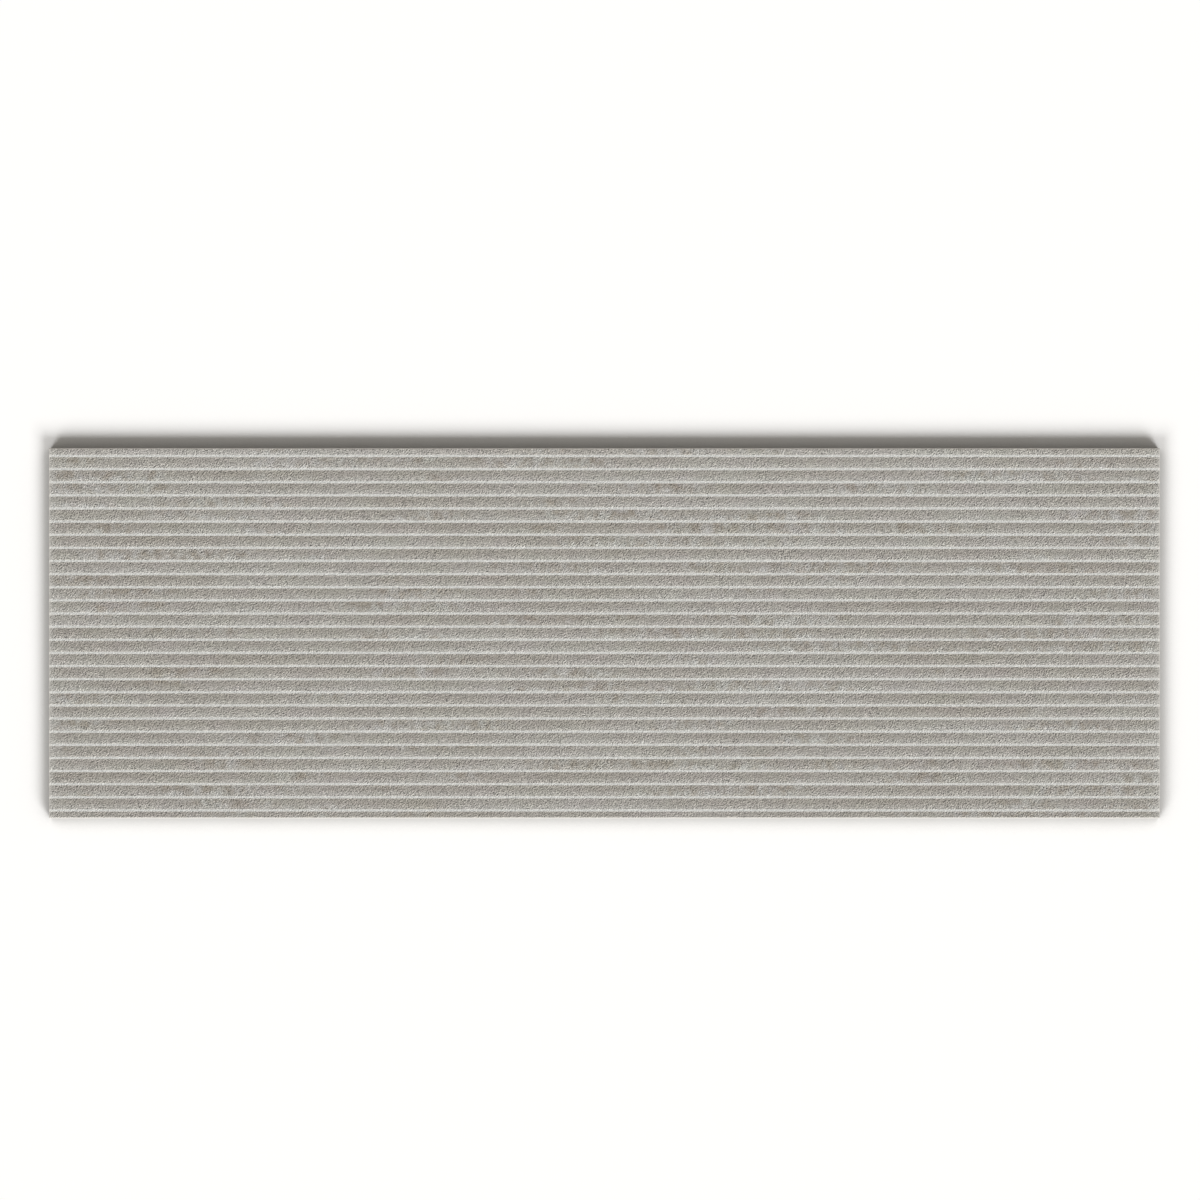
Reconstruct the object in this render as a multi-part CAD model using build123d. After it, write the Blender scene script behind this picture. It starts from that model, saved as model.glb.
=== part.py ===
from build123d import *

import math
import os

# A ribbed wall tile, pressed and fired as one piece, lying on its back.
# X runs along the ribs, Y across them and Z up out of the ribbed face.
# The origin is the middle of the back. All sizes are in millimetres.

# Outside sizes: the thickness is from the back to the ribs' crests.
tile_length = 900.0
tile_width = 300.0
tile_thickness = 11.0

# One rib, read from its foot towards -Y: a straight ramp, a roll that
# levels out at the crest, and a bevelled step down to the next foot.
ramp_run = 3.7
ramp_angle = 9.4
roll_run = 4.84
step_run = 2.1

# Bevel ground round the face, measured down from the crests.
arris_bevel = 0.8

# Key pattern pressed into the back: square pockets between plain ridges,
# inside a plain border that is at least the margin wide.
pocket_side = 27.5
pocket_depth = 0.7
pocket_draft_angle = 45.0
ridge_width = 6.0
back_margin = 12.0

# Sizes that follow from those above.
rib_pitch = ramp_run + roll_run + step_run
ramp_rise = ramp_run * math.tan(math.radians(ramp_angle))
roll_rise = roll_run * math.tan(math.radians(ramp_angle) / 2)
foot_height = tile_thickness - ramp_rise - roll_rise
step_count = math.floor(tile_width / rib_pitch)
pocket_pitch = pocket_side + ridge_width


def rib_edges(foot):
    """The upper outline of one rib, from its foot down to the foot of the next."""
    ramp_top = Vector(foot.X - ramp_run, foot.Y + ramp_rise)
    crest = Vector(ramp_top.X - roll_run, tile_thickness)
    next_foot = Vector(crest.X - step_run, foot_height)
    ramp = Line(foot, ramp_top)
    roll = TangentArc(ramp_top, crest, tangent=ramp_top - foot)
    step = Line(crest, next_foot)
    return [ramp, roll, step]


def ribbed_slab():
    """The ribbed section, run along X and past the tile on every side."""
    # The steps are centred on the tile, and the first rib starts a whole pitch above the first step's rib.
    spare_ribs = 1
    first_step = (step_count - 1) / 2 * rib_pitch
    start = Vector(first_step - step_run / 2 + (1 + spare_ribs) * rib_pitch, foot_height)
    rib_count = step_count + 1 + 2 * spare_ribs
    outline = []
    for index in range(rib_count):
        outline += rib_edges(start - Vector(index * rib_pitch, 0))
    end = start - Vector(rib_count * rib_pitch, 0)
    outline += Polyline(end, (end.X, 0), (start.X, 0), start).edges()
    section = Plane.YZ * make_face(outline)
    return extrude(section, amount=tile_length, both=True)


def ground_blank():
    """The tile's outside block, with the bevel round its face."""
    blank = Box(tile_length, tile_width, tile_thickness, align=(Align.CENTER, Align.CENTER, Align.MIN))
    face_edges = blank.faces().sort_by(Axis.Z)[-1].edges()
    return chamfer(face_edges, arris_bevel)


def pockets_to_each_side(side):
    """How many pockets fit between a centre line of the back and its plain border."""
    room = side / 2 - back_margin + ridge_width / 2
    return math.floor(room / pocket_pitch)


def back_pockets():
    """The tapered pockets of the back, with a ridge along each centre line."""
    mouth = Rectangle(pocket_side, pocket_side)
    pocket = extrude(mouth, amount=pocket_depth, taper=pocket_draft_angle)
    columns = 2 * pockets_to_each_side(tile_length)
    rows = 2 * pockets_to_each_side(tile_width)
    return [place * pocket for place in GridLocations(pocket_pitch, pocket_pitch, columns, rows)]


tile = ribbed_slab() & ground_blank()
tile = tile - back_pockets()

os.makedirs("parts", exist_ok=True)
export_step(tile, "parts/tile.step")
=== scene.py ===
import math

import bmesh
import bpy
import numpy as np
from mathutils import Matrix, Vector, noise


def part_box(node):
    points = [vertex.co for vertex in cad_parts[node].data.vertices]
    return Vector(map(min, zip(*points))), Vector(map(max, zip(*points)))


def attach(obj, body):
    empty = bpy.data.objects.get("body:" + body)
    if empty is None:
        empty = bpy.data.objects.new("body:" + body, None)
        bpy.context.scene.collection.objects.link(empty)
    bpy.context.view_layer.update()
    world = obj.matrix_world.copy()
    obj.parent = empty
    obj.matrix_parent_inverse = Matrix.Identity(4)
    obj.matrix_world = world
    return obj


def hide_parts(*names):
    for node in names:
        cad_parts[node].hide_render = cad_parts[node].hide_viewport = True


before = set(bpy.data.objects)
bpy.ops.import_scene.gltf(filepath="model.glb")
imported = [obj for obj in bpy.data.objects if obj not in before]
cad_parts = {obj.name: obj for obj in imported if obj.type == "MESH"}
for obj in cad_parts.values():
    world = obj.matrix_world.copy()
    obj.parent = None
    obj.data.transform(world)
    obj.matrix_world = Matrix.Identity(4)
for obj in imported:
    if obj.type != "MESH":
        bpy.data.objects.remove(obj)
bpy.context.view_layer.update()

MM = 0.001
SEED = 28

# The tile's outside, from the frame. X runs along the ribs, Y across them and Z out of the face.
low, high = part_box("tile")
LENGTH = high[0] - low[0]
WIDTH = high[1] - low[1]
THICKNESS = high[2] - low[2]

# One rib, from its foot towards -Y: a ramp, a roll that levels out at the crest, and a bevelled step.
RAMP_RUN = 3.7 * MM
RAMP_ANGLE = math.radians(9.4)
ROLL_RUN = 4.84 * MM
STEP_RUN = 2.1 * MM
CREST_RUN = RAMP_RUN + ROLL_RUN
PITCH = CREST_RUN + STEP_RUN
RELIEF = RAMP_RUN * math.tan(RAMP_ANGLE) + ROLL_RUN * math.tan(RAMP_ANGLE / 2)
FOOT_Z = THICKNESS - RELIEF
STEP_COUNT = math.floor(WIDTH / PITCH)
FIRST_FOOT = (STEP_COUNT + 1) / 2 * PITCH - STEP_RUN / 2

# The bevel ground round the face, and the distances in from the tile's outline at which the face has
# vertices: the first three are on the bevel, and the rest follow the paler border.
ARRIS = 0.8 * MM
BORDER_LINES = ARRIS * np.array([0, 0.5, 1, 1.5, 3, 5.25, 8])
BEVEL_LINES = 3

# The key pattern on the back.
POCKET_SIDE = 27.5 * MM
POCKET_DEPTH = 0.7 * MM
RIDGE_WIDTH = 6.0 * MM
BACK_MARGIN = 12.0 * MM

# How far the fired relief strays from a ruled one, over which lengths, and how fine the mesh is along X.
EDGE_STRAY = 0.02 * MM
STRAY_SPACINGS = (9 * MM, 42 * MM)
EDGE_ROUNDING = 0.018 * MM
EDGE_WIDTH = 0.24 * MM
FACE_SWELL = 0.025 * MM
SWELL_LENGTH = 26 * MM
SWELL_WIDTH = 9 * MM
COLUMN_SPACING = 4.4 * MM
SHARP_ANGLE = math.radians(30)

# The steps' paler, cooler colour starts this far inside their edges, and the paler glaze and painted light of
# a roll are full on this share of it.
PALE_INSET = 0.15 * MM
FULL_ROLL = 0.55

# How much paler the rolls are, partly paler glaze and partly painted light on their lamp-facing slope, how
# much thinner the glaze is at the outline, and how fast that fades inwards.
ROLL_PALING_AND_PAINTED_LIGHT = 0.1
END_THINNING = 0.85
END_FADE = 3.4 * MM
SIDE_THINNING = 0.3
SIDE_FADE = 2 * MM

# The outer share of the bevel is ground bare, and wear shows the body beside it at the two ends.
BARE_BEVEL = 0.6
END_WEAR = 0.3
WEAR_FADE = 1.2 * MM

# The ribs are printed from different places along a print of this length.
PRINT_LENGTH = 6.0


def rib_height(run):
    """Height of the face above a rib's foot, at a distance run from that foot."""
    radius = ROLL_RUN / math.sin(RAMP_ANGLE)
    short_of_crest = np.clip(CREST_RUN - run, 0, ROLL_RUN)
    ramp = run * math.tan(RAMP_ANGLE)
    roll = RELIEF - radius + np.sqrt(radius**2 - short_of_crest**2)
    step = RELIEF * (PITCH - run) / STEP_RUN
    return np.select([run <= RAMP_RUN, run <= CREST_RUN], [ramp, roll], step)


def stations():
    """Distances from a rib's foot at which the face has a row of vertices, closest at its edges."""
    foot = EDGE_WIDTH * np.array([0, 0.5, 1])
    ramp = np.linspace(0, RAMP_RUN, 3)[1:]
    roll = RAMP_RUN + ROLL_RUN * np.array([0.27, 0.54, 0.78])
    crest = CREST_RUN + EDGE_WIDTH * np.array([-1, -0.5, 0, 0.5, 1])
    return np.concatenate([foot, ramp, roll, crest, PITCH - foot[:0:-1]])


def stray(rng, along):
    """A slow, even wander of an edge, at each place along it."""
    total = np.zeros_like(along)
    for spacing in STRAY_SPACINGS:
        knots = np.arange(along[0] - spacing, along[-1] + 2 * spacing, spacing)
        total += np.interp(along, knots, rng.normal(0, EDGE_STRAY, len(knots)))
    return total


def face_columns():
    """Places along X of the face's columns of vertices, from -X to +X."""
    ends = LENGTH / 2 - BORDER_LINES
    inner = np.linspace(-ends[-1], ends[-1], round(2 * ends[-1] / COLUMN_SPACING))
    return np.concatenate([-ends[:-1], inner, ends[-2::-1]])


def face_rows(rng, columns):
    """The Y of each vertex in the face's rows, from +Y to -Y, and each row's distance from the first foot."""
    foot_strays = [stray(rng, columns) for _ in range(STEP_COUNT + 2)]
    crest_strays = [stray(rng, columns) for _ in range(STEP_COUNT + 1)]
    bevel = WIDTH / 2 - BORDER_LINES[:BEVEL_LINES]
    rows = [(np.full_like(columns, y), FIRST_FOOT - y) for y in bevel]
    for rib in range(STEP_COUNT + 1):
        for run in stations():
            y = FIRST_FOOT - rib * PITCH - run
            if abs(y) > bevel[-1]:
                continue
            if run <= CREST_RUN:
                share = run / CREST_RUN
                moved = foot_strays[rib] * (1 - share) + crest_strays[rib] * share
            else:
                share = (run - CREST_RUN) / STEP_RUN
                moved = crest_strays[rib] * (1 - share) + foot_strays[rib + 1] * share
            rows.append((y + moved, rib * PITCH + run))
    rows += [(np.full_like(columns, -y), FIRST_FOOT + y) for y in bevel[::-1]]
    ys, from_start = zip(*rows)
    return np.array(ys), np.array(from_start)[:, None]


def at_foot(runs):
    """True for the rows along the foot of a rib."""
    return np.isclose(runs, 0) | np.isclose(runs, PITCH)


def face_heights(xs, ys, runs):
    """Heights of the face's vertices before it is bevelled, with rounded edges and a slight swell."""
    ruled = FOOT_Z + rib_height(runs) - EDGE_ROUNDING * np.isclose(runs, CREST_RUN)
    ruled = ruled + EDGE_ROUNDING * at_foot(runs)
    spots = zip(xs.flat, ys.flat)
    swell = [noise.noise(Vector((x / SWELL_LENGTH, y / SWELL_WIDTH, 0))) for x, y in spots]
    swell = np.reshape(swell, ys.shape)
    return np.minimum(ruled + FACE_SWELL * (swell - 1) / 2, THICKNESS)


def glaze_masks(runs, to_end, to_side):
    """Where the steps are paler and cooler, where the rolls lie, where the glaze is thinner or paler with
    painted light on the rolls, and where it is ground or worn bare.
    """
    past_edge = np.where(at_foot(runs), 0, np.minimum(runs - CREST_RUN, PITCH - runs))
    step = 0.5 + (past_edge - PALE_INSET) / EDGE_WIDTH
    rolled = np.clip((runs - RAMP_RUN) / (FULL_ROLL * ROLL_RUN), 0, 1)
    roll = rolled**2 * (3 - 2 * rolled) * (runs <= CREST_RUN)
    # On the rolls this is paler glaze and, in part, painted light on their lamp-facing slope.
    thin_glaze_and_painted_light = ROLL_PALING_AND_PAINTED_LIGHT * roll + END_THINNING * np.exp(-to_end / END_FADE)
    thin_glaze_and_painted_light = thin_glaze_and_painted_light + SIDE_THINNING * np.exp(-to_side / SIDE_FADE)
    worn = END_WEAR * np.exp((ARRIS - to_end) / WEAR_FADE)
    ground = np.minimum(to_end, to_side) < BARE_BEVEL * ARRIS
    masks = {"step": step, "roll": roll, "thin_glaze_and_painted_light": thin_glaze_and_painted_light, "bare": np.maximum(worn, ground)}
    return {name: np.clip(np.broadcast_to(mask, to_end.shape), 0, 1) for name, mask in masks.items()}


def face_grid():
    """Places of the face's vertices, by row from +Y to -Y and by column from -X to +X, with the masks
    of the glaze and each rib's own start in the print."""
    rng = np.random.default_rng(SEED)
    columns = face_columns()
    ys, from_start = face_rows(rng, columns)
    prints = rng.uniform(0, PRINT_LENGTH, STEP_COUNT + 2)
    xs = np.broadcast_to(columns, ys.shape)
    runs = from_start % PITCH
    to_end = LENGTH / 2 - np.abs(xs)
    to_side = WIDTH / 2 - np.abs(ys)
    bevel = THICKNESS - ARRIS + np.minimum(to_end, to_side)
    zs = np.minimum(face_heights(xs, ys, runs), bevel)
    masks = glaze_masks(runs, to_end, to_side)
    round_off = 1e-6
    ribs = np.floor(from_start / PITCH + round_off).astype(int)
    masks["print"] = np.broadcast_to(prints[ribs], ys.shape)
    return np.stack([xs, ys, zs], axis=-1), masks


def pocket_lines(side):
    """Lines across the back at the mouth and floor of each pocket, and 1 for each that is on a floor."""
    half_count = math.floor((side / 2 - BACK_MARGIN + RIDGE_WIDTH / 2) / (POCKET_SIDE + RIDGE_WIDTH))
    lines = [(-side / 2, 0)]
    for index in range(-half_count, half_count):
        middle = (index + 0.5) * (POCKET_SIDE + RIDGE_WIDTH)
        for reach, on_floor in ((-1, 0), (-1, 1), (1, 1), (1, 0)):
            half = POCKET_SIDE / 2 - POCKET_DEPTH * on_floor
            lines.append((middle + reach * half, on_floor))
    lines.append((side / 2, 0))
    return np.array(lines)


def back_grid():
    """Places of the back's vertices, by row from -Y to +Y and by column from -X to +X."""
    columns = pocket_lines(LENGTH)
    rows = pocket_lines(WIDTH)
    xs, ys = np.meshgrid(columns[:, 0], rows[:, 0])
    on_floor = np.outer(rows[:, 1], columns[:, 1])
    return np.stack([xs, ys, POCKET_DEPTH * on_floor], axis=-1)


def grid_faces(ids):
    """Four-sided faces of a grid of vertex numbers."""
    corners = [ids[:-1, :-1], ids[1:, :-1], ids[1:, 1:], ids[:-1, 1:]]
    return np.stack(corners, axis=-1).reshape(-1, 4).tolist()


def wall_faces(upper, lower, along):
    """Triangles between two lines of vertices that run the same way with different spacings."""
    faces = []
    u, v = 0, 0
    while u < len(upper) - 1 or v < len(lower) - 1:
        next_upper = along[upper[u + 1]] if u < len(upper) - 1 else math.inf
        next_lower = along[lower[v + 1]] if v < len(lower) - 1 else math.inf
        if next_upper <= next_lower:
            faces.append((upper[u], lower[v], upper[u + 1]))
            u += 1
        else:
            faces.append((upper[u], lower[v], lower[v + 1]))
            v += 1
    return faces


def closed_mesh(places, groups):
    """One mesh of all the groups of faces, turned to face outwards."""
    mesh = bpy.data.meshes.new("ribbed_tile")
    mesh.from_pydata(places.tolist(), [], [face for faces in groups.values() for face in faces])
    turned = bmesh.new()
    turned.from_mesh(mesh)
    bmesh.ops.recalc_face_normals(turned, faces=turned.faces)
    turned.to_mesh(mesh)
    turned.free()
    return mesh


def bake_places(points, group):
    """Places on the baked map: the face has most of it, above the back and the four walls."""
    x = points[:, 0] / LENGTH + 0.5
    y = points[:, 1] / WIDTH + 0.5
    z = points[:, 2] / THICKNESS
    strips = {
        "face": (x, 0.23 + 0.765 * y),
        "back": (x, 0.06 + 0.155 * y),
        "front": (x, 0.002 + 0.011 * z),
        "rear": (x, 0.016 + 0.011 * z),
        "left": (0.45 * y, 0.030 + 0.022 * z),
        "right": (0.5 + 0.45 * y, 0.030 + 0.022 * z),
    }
    across, up = strips[group]
    margin = 0.003
    return np.column_stack([margin + (1 - 2 * margin) * across, up])


def lay_out_bake(mesh, places, face_groups):
    """Gives each corner of the mesh its place on the baked map, by the group of its face."""
    points = places[[loop.vertex_index for loop in mesh.loops]]
    groups = np.repeat(face_groups, [len(face.vertices) for face in mesh.polygons])
    uv = np.zeros((len(points), 2))
    for group in np.unique(groups):
        mine = groups == group
        uv[mine] = bake_places(points[mine], group)
    mesh.uv_layers.new(name="OFBake").data.foreach_set("uv", uv.ravel())


def make_tile():
    """The whole tile as one closed mesh, with a glazed face and bare walls and back."""
    face, masks = face_grid()
    back = back_grid()
    places = np.concatenate([face.reshape(-1, 3), back.reshape(-1, 3)])
    face_ids = np.arange(face[..., 0].size).reshape(face.shape[:2])
    back_ids = face_ids.size + np.arange(back[..., 0].size).reshape(back.shape[:2])
    groups = {
        "face": grid_faces(face_ids),
        "back": grid_faces(back_ids),
        "front": wall_faces(face_ids[-1], back_ids[0], places[:, 0]),
        "rear": wall_faces(face_ids[0], back_ids[-1], places[:, 0]),
        "left": wall_faces(face_ids[::-1, 0], back_ids[:, 0], places[:, 1]),
        "right": wall_faces(face_ids[::-1, -1], back_ids[:, -1], places[:, 1]),
    }
    mesh = closed_mesh(places, groups)
    face_groups = [name for name, faces in groups.items() for _ in faces]
    mesh.materials.append(glaze())
    mesh.materials.append(biscuit())
    mesh.polygons.foreach_set("material_index", [int(name != "face") for name in face_groups])
    for name, values in masks.items():
        held = np.zeros(len(places))
        held[:values.size] = values.ravel()
        mesh.attributes.new(name, "FLOAT", "POINT").data.foreach_set("value", held)
    lay_out_bake(mesh, places, face_groups)
    mesh.shade_smooth()
    mesh.set_sharp_from_angle(angle=SHARP_ANGLE)

    tile = bpy.data.objects.new("ribbed_tile", mesh)
    bpy.context.collection.objects.link(tile)
    return tile


class Graph:
    """The nodes of a material or of the world, with short calls for those used here."""

    def __init__(self, owner):
        self.owner = owner
        self.owner.use_nodes = True
        self.tree = owner.node_tree
        self.tree.nodes.clear()

    def add(self, kind, inputs=None, **settings):
        node = self.tree.nodes.new("ShaderNode" + kind)
        for name, value in settings.items():
            setattr(node, name, value)
        for name, value in (inputs or {}).items():
            if isinstance(value, bpy.types.NodeSocket):
                self.tree.links.new(value, node.inputs[name])
            else:
                node.inputs[name].default_value = value
        return node

    def coordinates(self, kind="Object"):
        return self.add("TexCoord").outputs[kind]

    def attribute(self, name):
        return self.add("Attribute", attribute_name=name).outputs["Fac"]

    def noise(self, size, turn=0, detail=2, roughness=0.5, shift=(0, 0, 0), place=None):
        """Noise whose grains are size metres along X, Y and Z, turned by turn degrees about Z."""
        laid = self.add("Mapping", {
            "Vector": place or self.coordinates(),
            "Location": shift,
            "Rotation": (0, 0, math.radians(turn)),
            "Scale": size,
        }, vector_type="TEXTURE")
        return self.add("TexNoise", {
            "Vector": laid.outputs["Vector"],
            "Scale": 1,
            "Detail": detail,
            "Roughness": roughness,
        }).outputs["Fac"]

    def math(self, operation, a, b=0, c=0):
        return self.add("Math", {0: a, 1: b, 2: c}, operation=operation).outputs[0]

    def swing(self, value, factor, around):
        """around, moved up or down by factor times how far a noise is from its middle."""
        return self.math("MULTIPLY_ADD", self.math("SUBTRACT", value, 0.5), factor, around)

    def vector(self, operation, a, b):
        return self.add("VectorMath", {0: a, 1: b}, operation=operation).outputs[0]

    def span(self, value, start, end, low=0, high=1):
        """low where value is at start or before it, high at end or past it, and smooth between."""
        return self.add("MapRange", {
            "Value": value, "From Min": start, "From Max": end, "To Min": low, "To Max": high,
        }, interpolation_type="SMOOTHSTEP").outputs["Result"]

    def mix(self, share, a, b):
        return self.add("Mix", {0: share, 6: a, 7: b}, data_type="RGBA").outputs[2]

    def bump(self, height, depth):
        return self.add("Bump", {"Height": height, "Strength": 1, "Distance": depth}).outputs["Normal"]

    def seen(self):
        """1 for rays that show in the picture, straight or by way of a shiny or clear surface."""
        rays = self.add("LightPath").outputs
        either = self.math("MAXIMUM", rays["Is Camera Ray"], rays["Is Glossy Ray"])
        return self.math("MAXIMUM", either, rays["Is Transmission Ray"])

    def surface(self, shader, inputs):
        """Ends a material with a shader, and returns the material."""
        end = self.add(shader, inputs).outputs["BSDF"]
        self.add("OutputMaterial", {"Surface": end})
        return self.owner


def colour(red, green, blue):
    return (red, green, blue, 1)


WHITE = colour(1, 1, 1)


def glaze():
    """Matt stone-look glaze: grey-beige bands with a fine slanting grain whose light and shade are partly
    painted, paler on the steps, and paler on the rolls partly by painted light.
    """
    g = Graph(bpy.data.materials.new("matt_stone_glaze"))
    deep = colour(0.310, 0.282, 0.244)
    light = colour(0.424, 0.416, 0.396)
    rosy = colour(1.0, 0.945, 1.015)
    olive = colour(1.0, 1.057, 0.985)
    thinned_glaze_and_painted_light = colour(0.438, 0.434, 0.412)
    pale = colour(0.416, 0.419, 0.404)
    dark = colour(0.235, 0.202, 0.163)
    body = colour(0.62, 0.60, 0.56)
    paler_glaze_and_painted_light = colour(1.070, 1.088, 1.103)

    # Clouds and tints differ from rib to rib, as each is printed from its own place.
    start = g.attribute("print")
    start = g.add("CombineXYZ", {"X": start, "Y": start}).outputs[0]
    printed = g.vector("ADD", g.coordinates(), start)
    cloud = g.noise((180 * MM, 60 * MM, 60 * MM), detail=5, roughness=0.74, place=printed)
    tint = g.noise((40 * MM, 26 * MM, 26 * MM), detail=4, roughness=0.8, shift=(9.4, 0, 0), place=printed)
    zone = g.noise((110 * MM, 22 * MM, 22 * MM), detail=1, shift=(12.9, 0, 0), place=printed)
    marble = g.noise((9 * MM, 11 * MM, 11 * MM), detail=3, roughness=0.6, shift=(16.6, 0, 0), place=printed)
    speck = g.noise((3.2 * MM, 2.2 * MM, 2.2 * MM), roughness=0.6, shift=(14.2, 0, 0))
    fleck = g.noise((3.6 * MM, 1.7 * MM, 1.7 * MM), turn=35, roughness=0.65, shift=(7.7, 0, 0))
    shade = g.swing(cloud, 1.3, 0.5)
    shade = g.swing(marble, g.span(zone, 0.53, 0.64, 0, 3.4), shade)
    base = g.mix(shade, deep, light)
    base = g.vector("MULTIPLY", base, g.mix(tint, rosy, olive))
    base = g.mix(g.span(speck, 0.67, 0.77, 0, 0.55), base, dark)
    flecks = g.math("MULTIPLY", g.span(fleck, 0.58, 0.7), g.span(zone, 0.52, 0.68, 0, 0.75))
    base = g.mix(flecks, base, thinned_glaze_and_painted_light)

    # The rolls are paler and cooler, partly glaze and partly painted light on their lamp-facing slope; the
    # glaze thins towards the tile's outline; and the steps are paler and cooler, to a ragged edge.
    grit = g.noise((0.94 * MM, 0.94 * MM, 0.94 * MM), detail=0, shift=(3.1, 0, 0))
    ragged = g.math("ADD", g.attribute("step"), g.span(grit, 0.25, 0.75, -0.16, 0.16))
    # Paler glaze on the rolls, and in part painted light on their lamp-facing slope.
    base = g.vector("MULTIPLY", base, g.mix(g.attribute("roll"), WHITE, paler_glaze_and_painted_light))
    base = g.mix(g.attribute("thin_glaze_and_painted_light"), base, thinned_glaze_and_painted_light)
    base = g.mix(g.span(ragged, 0.3, 0.7), base, pale)

    # The grain is printed grit and dust, plus painted light and shade on a slanting noise: its slopes facing
    # the lower right, where the stronger lamp is, are painted lighter. That noise is pressed into the face as
    # well.
    grain_size = (1.3 * MM, 0.9 * MM, 0.9 * MM)
    grain_turn = 45
    grain = g.noise(grain_size, grain_turn, detail=1)
    grain_towards_lamp = g.noise(grain_size, grain_turn, detail=1, shift=(-0.4 * MM, 0.4 * MM, 0))
    dust = g.noise((0.62 * MM, 0.62 * MM, 0.62 * MM), detail=0, shift=(6.7, 0, 0))
    patches = g.noise((26 * MM, 11 * MM, 11 * MM), turn=10, shift=(1.7, 0, 0))
    strength = g.span(patches, 0.3, 0.7, 0.85, 1.15)
    strength = g.math("MULTIPLY", strength, g.span(g.attribute("step"), 0, 1, 1, 0.5))
    # Painted light and shade: the noise minus itself a step towards the lower right.
    grain_print_and_painted_shade = g.math("MULTIPLY", g.math("SUBTRACT", grain, grain_towards_lamp), 2.4)
    grain_print_and_painted_shade = g.swing(grit, 1.1, grain_print_and_painted_shade)
    grain_print_and_painted_shade = g.swing(dust, 1.6, grain_print_and_painted_shade)
    base = g.vector("MULTIPLY", base, g.math("MULTIPLY_ADD", grain_print_and_painted_shade, strength, 1))
    base = g.mix(g.attribute("bare"), base, body)
    return g.surface("BsdfPrincipled", {
        "Base Color": base,
        "Roughness": g.span(patches, 0.2, 0.8, 0.6, 0.72),
        "Normal": g.bump(g.math("MULTIPLY", grain, strength), 0.22 * MM),
        "Specular IOR Level": 0.3,
    })


def biscuit():
    """Bare fired body, with streaks along the ground walls and kiln wash on the ridges of the back."""
    g = Graph(bpy.data.materials.new("bare_biscuit"))
    clay = colour(0.520, 0.485, 0.430)
    chalk = colour(0.590, 0.570, 0.525)
    ash = colour(0.400, 0.362, 0.307)
    wash = colour(0.640, 0.628, 0.595)
    cloud = g.noise((38 * MM, 30 * MM, 9 * MM), detail=3, roughness=0.6)
    grit = g.noise((0.8 * MM, 0.8 * MM, 0.8 * MM), roughness=0.7, shift=(2.3, 0, 0))
    streak = g.noise((45 * MM, 45 * MM, 0.5 * MM), roughness=0.6, shift=(5.8, 0, 0))
    smear = g.noise((14 * MM, 5 * MM, 5 * MM), turn=8, detail=3, roughness=0.7, shift=(8.1, 0, 0))
    facing = g.add("SeparateXYZ", {0: g.coordinates("Normal")}).outputs["Z"]
    upright = g.math("SUBTRACT", 1, g.math("ABSOLUTE", facing))
    height = g.add("SeparateXYZ", {0: g.coordinates()}).outputs["Z"]

    base = g.mix(g.span(cloud, 0.3, 0.7), clay, chalk)
    base = g.mix(g.span(grit, 0.56, 0.74, 0, 0.6), base, ash)
    ridges = g.span(height, 0.1 * MM, 0.5 * MM, 1, 0)
    base = g.mix(g.math("MULTIPLY", ridges, g.span(smear, 0.35, 0.65, 0.1, 0.8)), base, wash)
    ground = g.math("MULTIPLY", g.math("SUBTRACT", streak, 0.5), upright)
    base = g.vector("MULTIPLY", base, g.math("MULTIPLY_ADD", ground, 0.35, 1))
    return g.surface("BsdfPrincipled", {
        "Base Color": base,
        "Roughness": g.span(grit, 0.3, 0.7, 0.78, 0.9),
        "Normal": g.bump(g.math("MULTIPLY_ADD", ground, 0.6, grit), 0.15 * MM),
    })


tile = make_tile()
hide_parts("tile")
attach(tile, "root")

# A wide floor just under the tile. Painted shade, from how much of the open sky the tile hides, darkens it
# for this far.
FLOOR_SIDE = 30.0
FLOOR_DROP = 0.3 * MM
PAINTED_SHADE_REACH = 60 * MM

# The light: an even warm fill, and two broad soft lamps from the near side, the right one stronger.
FILL = 0.29
FILL_TINT = colour(1.0, 0.955, 0.885)
LAMP_BREADTH = math.radians(28)
LAMP_ELEVATION = math.radians(32.5)
LAMP_BEARING = math.radians(57)
LAMP_SHARES = {"right": 0.43, "left": 0.30}
LAMP_DISTANCE = 2.0

# The camera looks straight down. These are the tile's length and centre in a picture 1200 pixels wide.
PICTURE_PIXELS = 1200
TILE_PIXELS = 1110.7
TILE_CENTRE_PIXEL = (604.45, 633.2)
LENS = 150.0
SIGHT = 100.0


def white_paper():
    """Paper that looks white, with painted shade darkening it close to the tile, and throws less light back
    than white would.
    """
    g = Graph(bpy.data.materials.new("white_paper"))
    painted_shade_near_tile = colour(0.56, 0.56, 0.56)
    thrown_back = colour(0.6, 0.6, 0.6)
    open_sky = g.add("AmbientOcclusion", {"Distance": PAINTED_SHADE_REACH}).outputs["AO"]
    # Painted shade near the tile, from ambient occlusion, in the colour the camera sees.
    looks = g.mix(g.span(open_sky, 0.5, 1), painted_shade_near_tile, WHITE)
    return g.surface("BsdfDiffuse", {"Color": g.mix(g.seen(), thrown_back, looks)})


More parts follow.
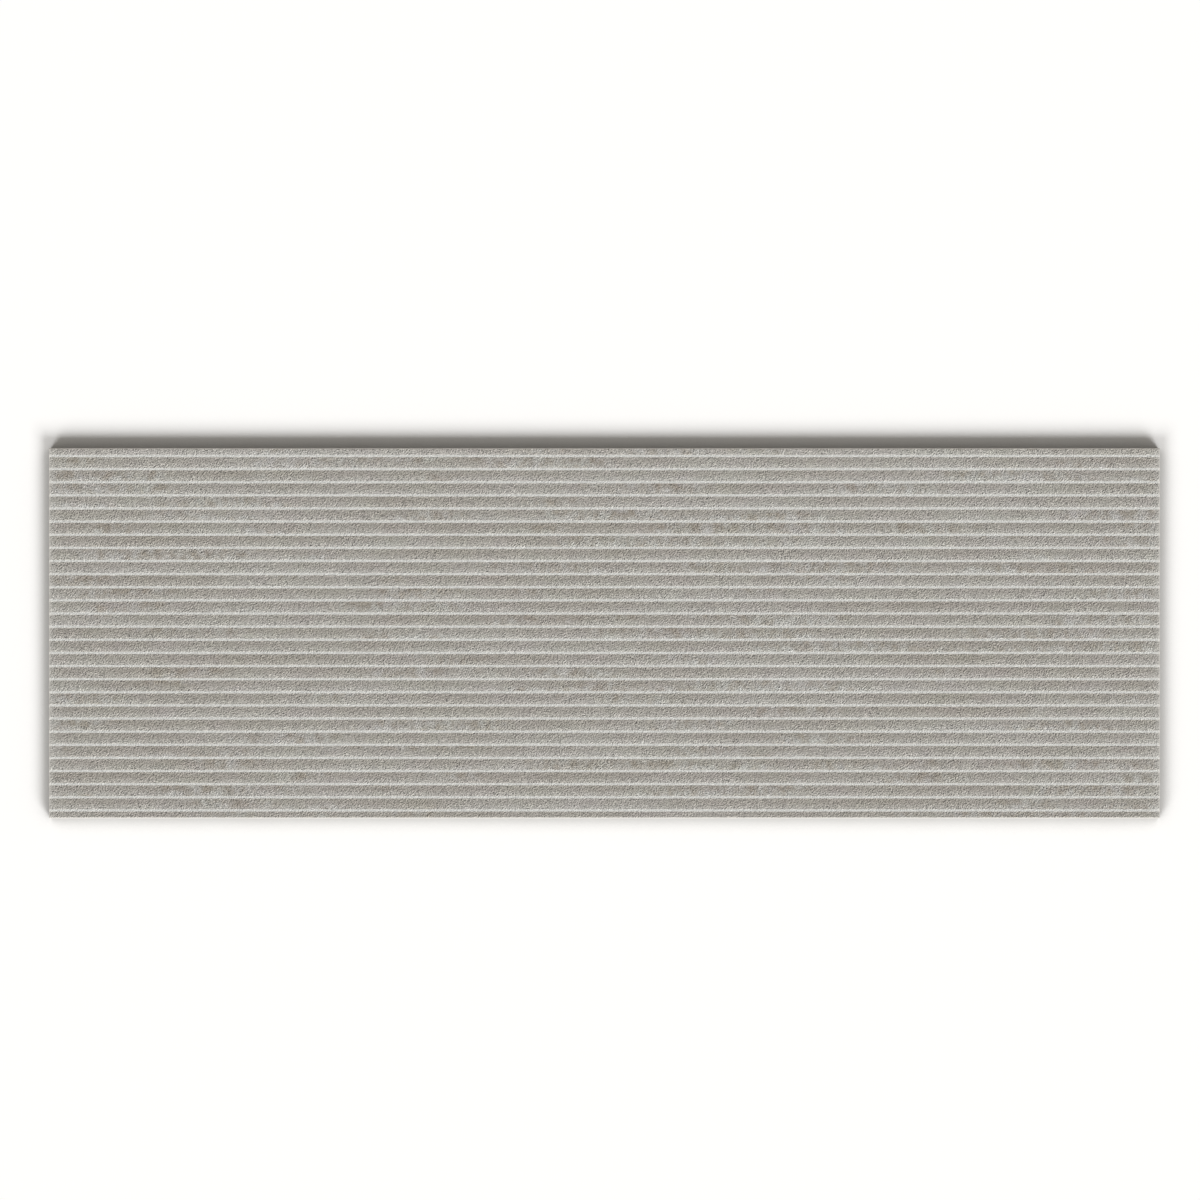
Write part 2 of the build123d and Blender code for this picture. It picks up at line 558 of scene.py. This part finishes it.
def make_floor():
    half = FLOOR_SIDE / 2
    corners = [(-half, -half, 0), (half, -half, 0), (half, half, 0), (-half, half, 0)]
    mesh = bpy.data.meshes.new("floor")
    mesh.from_pydata(corners, [], [(0, 1, 2, 3)])
    mesh.materials.append(white_paper())
    floor = bpy.data.objects.new("floor", mesh)
    floor.location.z = -FLOOR_DROP
    bpy.context.collection.objects.link(floor)
    return floor


def make_world():
    """The fill light, which looks plain white where it shows in the picture."""
    world = bpy.data.worlds.new("studio")
    g = Graph(world)
    fill = g.add("Background", {"Color": FILL_TINT, "Strength": FILL}).outputs[0]
    white = g.add("Background", {"Color": WHITE, "Strength": 1}).outputs[0]
    sky = g.add("MixShader", {0: g.seen(), 1: fill, 2: white}).outputs[0]
    g.add("OutputWorld", {"Surface": sky})
    return world


def make_lamp(name, share):
    """A soft lamp from the near side, which gives the floor that share of full light."""
    side = 1 if name == "right" else -1
    towards = Vector((
        side * math.cos(LAMP_BEARING) * math.cos(LAMP_ELEVATION),
        -math.sin(LAMP_BEARING) * math.cos(LAMP_ELEVATION),
        math.sin(LAMP_ELEVATION),
    ))
    light = bpy.data.lights.new("soft_lamp_" + name, "SUN")
    light.angle = LAMP_BREADTH
    light.energy = share * math.pi / math.sin(LAMP_ELEVATION)
    lamp = bpy.data.objects.new(light.name, light)
    lamp.location = LAMP_DISTANCE * towards
    lamp.rotation_euler = towards.to_track_quat("Z", "Y").to_euler()
    bpy.context.collection.objects.link(lamp)


def make_camera():
    pixel = LENGTH / TILE_PIXELS
    data = bpy.data.cameras.new("camera")
    data.lens = LENS
    data.clip_end = SIGHT
    camera = bpy.data.objects.new("camera", data)
    camera.location = (
        (PICTURE_PIXELS / 2 - TILE_CENTRE_PIXEL[0]) * pixel,
        (TILE_CENTRE_PIXEL[1] - PICTURE_PIXELS / 2) * pixel,
        THICKNESS + PICTURE_PIXELS * pixel * LENS / data.sensor_width,
    )
    bpy.context.collection.objects.link(camera)
    return camera


floor = make_floor()
for name, share in LAMP_SHARES.items():
    make_lamp(name, share)
bpy.context.scene.world = make_world()
bpy.context.scene.camera = make_camera()
bpy.context.scene.view_settings.view_transform = "Standard"
